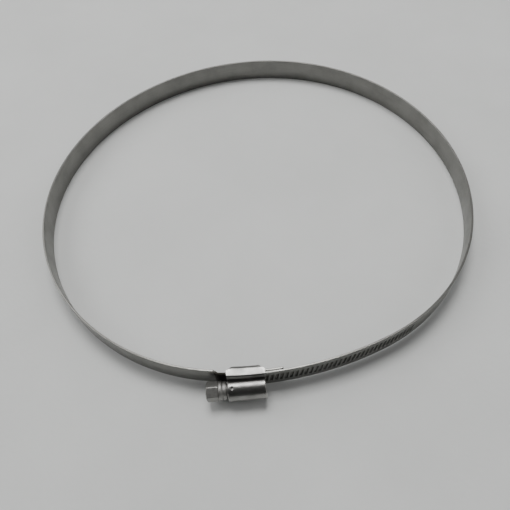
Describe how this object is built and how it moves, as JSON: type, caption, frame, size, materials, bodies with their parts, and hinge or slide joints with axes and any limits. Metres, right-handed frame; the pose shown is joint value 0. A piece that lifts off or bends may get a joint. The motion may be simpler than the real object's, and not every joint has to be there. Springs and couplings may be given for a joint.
{
  "type": "hose clamp",
  "caption": "Worm-drive hose clamp: a steel band with a grooved free end that a hexagon-headed screw draws through a pressed housing, closing the ring.",
  "frame": {"origin": "on the axis of the hose, at half the band's width", "axes": "+Z along the hose's axis; the screw runs along X with its head towards -X, and the housing is at -Y"},
  "size_m": [0.207, 0.2024, 0.014],
  "materials": {
    "band_steel": "rolled strip, fine brushing along its length",
    "housing_steel": "pressed sheet, semi-bright with tool marks",
    "screw_steel": "turned and rolled, darker and slightly worn"
  },
  "bodies": {
    "housing_body": {"housing": "housing_steel", "band_fixed_end": "band_steel"},
    "screw": {"worm_screw": "screw_steel"},
    "threaded_end": {"band_threaded_end": "band_steel"},
    "right_1": {"band_right_1": "band_steel"},
    "right_2": {"band_right_2": "band_steel"},
    "right_3": {"band_right_3": "band_steel"},
    "right_4": {"band_right_4": "band_steel"},
    "right_5": {"band_right_5": "band_steel"},
    "right_6": {"band_right_6": "band_steel"},
    "left_1": {"band_left_1": "band_steel"},
    "left_2": {"band_left_2": "band_steel"},
    "left_3": {"band_left_3": "band_steel"},
    "left_4": {"band_left_4": "band_steel"},
    "left_5": {"band_left_5": "band_steel"},
    "left_6": {"band_left_6": "band_steel"}
  },
  "joints": [
    {"name": "screw_turn", "type": "hinge", "parent": "housing_body", "child": "screw", "pos_m": [-0.011, -0.10055, 0], "axis": [1, 0, 0], "range_deg": [0, 9001]},
    {"name": "band_feed", "type": "hinge", "parent": "housing_body", "child": "threaded_end", "pos_m": [-0.007, 0.0535, 0], "axis": [0, 0, 1], "range_deg": [-19.01, 0]},
    {"name": "right_flex_1", "type": "hinge", "parent": "threaded_end", "child": "right_1", "pos_m": [0.09802, -0.03232, 0], "axis": [0, 0, 1], "range_deg": [0, 0.32]},
    {"name": "right_flex_2", "type": "hinge", "parent": "right_1", "child": "right_2", "pos_m": [0.10251, -0.00227, 0], "axis": [0, 0, 1], "range_deg": [0, 0.608]},
    {"name": "right_flex_3", "type": "hinge", "parent": "right_2", "child": "right_3", "pos_m": [0.09735, 0.0286, 0], "axis": [0, 0, 1], "range_deg": [0, 1.07]},
    {"name": "right_flex_4", "type": "hinge", "parent": "right_3", "child": "right_4", "pos_m": [0.08294, 0.05628, 0], "axis": [0, 0, 1], "range_deg": [0, 1.69]},
    {"name": "right_flex_5", "type": "hinge", "parent": "right_4", "child": "right_5", "pos_m": [0.06093, 0.0779, 0], "axis": [0, 0, 1], "range_deg": [0, 2.31]},
    {"name": "right_flex_6", "type": "hinge", "parent": "right_5", "child": "right_6", "pos_m": [0.03312, 0.09177, 0], "axis": [0, 0, 1], "range_deg": [0, 2.77]},
    {"name": "left_flex_1", "type": "hinge", "parent": "housing_body", "child": "left_1", "pos_m": [-0.09804, -0.0322, 0], "axis": [0, 0, 1], "range_deg": [-0.32, 0]},
    {"name": "left_flex_2", "type": "hinge", "parent": "left_1", "child": "left_2", "pos_m": [-0.10268, -0.00444, 0], "axis": [0, 0, 1], "range_deg": [-0.882, 0]},
    {"name": "left_flex_3", "type": "hinge", "parent": "left_2", "child": "left_3", "pos_m": [-0.09839, 0.0243, 0], "axis": [0, 0, 1], "range_deg": [-1.52, 0]},
    {"name": "left_flex_4", "type": "hinge", "parent": "left_3", "child": "left_4", "pos_m": [-0.08459, 0.05198, 0], "axis": [0, 0, 1], "range_deg": [-2.17, 0]},
    {"name": "left_flex_5", "type": "hinge", "parent": "left_4", "child": "left_5", "pos_m": [-0.06156, 0.07541, 0], "axis": [0, 0, 1], "range_deg": [-2.68, 0]},
    {"name": "left_flex_6", "type": "hinge", "parent": "left_5", "child": "left_6", "pos_m": [-0.03159, 0.09101, 0], "axis": [0, 0, 1], "range_deg": [-2.9, 0]}
  ],
  "couplings": [
    {"joint": "screw_turn", "follows": "band_feed", "ratio": -473.36},
    {"joint": "right_flex_1", "follows": "band_feed", "ratio": -0.015779},
    {"joint": "right_flex_2", "follows": "band_feed", "ratio": -0.030905},
    {"joint": "right_flex_3", "follows": "band_feed", "ratio": -0.055287},
    {"joint": "right_flex_4", "follows": "band_feed", "ratio": -0.087701},
    {"joint": "right_flex_5", "follows": "band_feed", "ratio": -0.12057},
    {"joint": "right_flex_6", "follows": "band_feed", "ratio": -0.14437},
    {"joint": "left_flex_1", "follows": "band_feed", "ratio": 0.015779},
    {"joint": "left_flex_2", "follows": "band_feed", "ratio": 0.045342},
    {"joint": "left_flex_3", "follows": "band_feed", "ratio": 0.079145},
    {"joint": "left_flex_4", "follows": "band_feed", "ratio": 0.11336},
    {"joint": "left_flex_5", "follows": "band_feed", "ratio": 0.14009},
    {"joint": "left_flex_6", "follows": "band_feed", "ratio": 0.15168}
  ]
}
